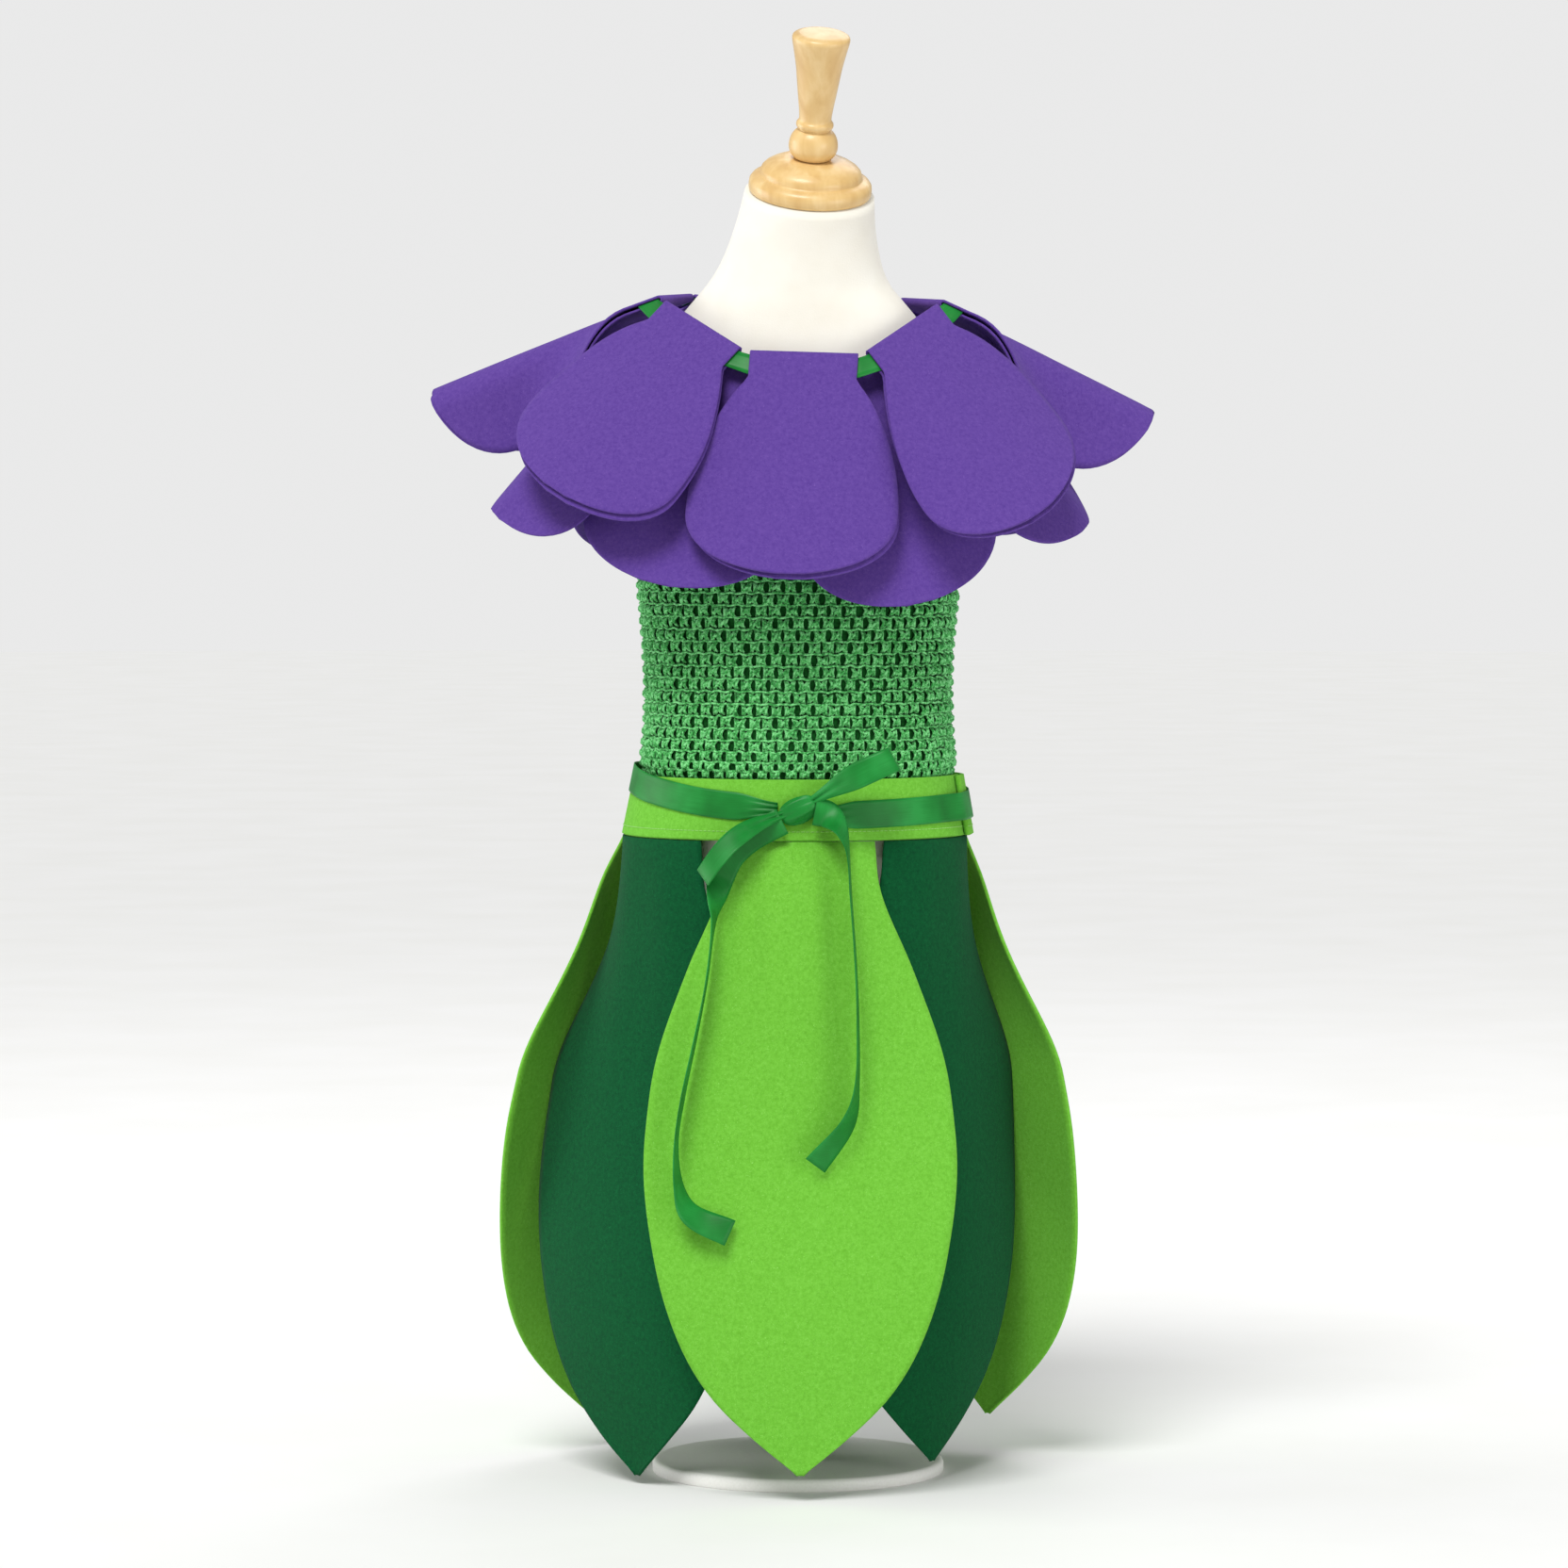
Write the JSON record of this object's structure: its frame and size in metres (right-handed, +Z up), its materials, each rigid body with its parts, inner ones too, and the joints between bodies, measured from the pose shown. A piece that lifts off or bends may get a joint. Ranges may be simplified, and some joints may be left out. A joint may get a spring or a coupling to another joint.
{
  "type": "flower costume on a dress form",
  "caption": "Child's flower costume on a limbless dress form: felt petal collar, crochet tube bodice, felt leaf skirt with waistband, satin ribbon belt tied in a bow.",
  "frame": {"origin": "middle of the stand base's flat underside, on the surface it stands on", "axes": "+Z up, the costume's front faces -Y, the wearer's left side is at +X"},
  "size_m": [0.4485, 0.3218, 0.8871],
  "materials": {
    "purple_felt": "matt, fine fibres",
    "lime_felt": "matt, fine fibres",
    "dark_green_felt": "matt, fine fibres",
    "green_crochet": "crochet, soft sheen",
    "green_satin": "satin",
    "form_cover": "matt",
    "varnished_wood": "clear varnish"
  },
  "bodies": {
    "root": {"torso": "form_cover", "neck_cap": "varnished_wood", "finial": "varnished_wood", "stand_base": "form_cover", "stand_pole": "form_cover", "bodice": "green_crochet", "waistband": "lime_felt", "leaf_front": "lime_felt", "leaf_dark_left": "dark_green_felt", "leaf_dark_right": "dark_green_felt", "leaf_lime_left": "lime_felt", "leaf_lime_right": "lime_felt", "leaf_dark_back": "dark_green_felt", "petal_upper_front": "purple_felt", "petal_upper_front_left": "purple_felt", "petal_upper_front_right": "purple_felt", "petal_upper_left": "purple_felt", "petal_upper_right": "purple_felt", "petal_upper_back_left": "purple_felt", "petal_upper_back_right": "purple_felt", "petal_lower_front_left": "purple_felt", "petal_lower_front_right": "purple_felt", "petal_lower_side_left": "purple_felt", "petal_lower_side_right": "purple_felt", "petal_lower_rear_left": "purple_felt", "petal_lower_rear_right": "purple_felt", "petal_lower_back": "purple_felt", "neck_ribbon": "green_satin", "belt_ribbon": "green_satin", "belt_knot": "green_satin", "bow_loop_right": "green_satin", "bow_loop_left": "green_satin", "tail_left": "green_satin", "tail_right": "green_satin"}
  },
  "joints": []
}
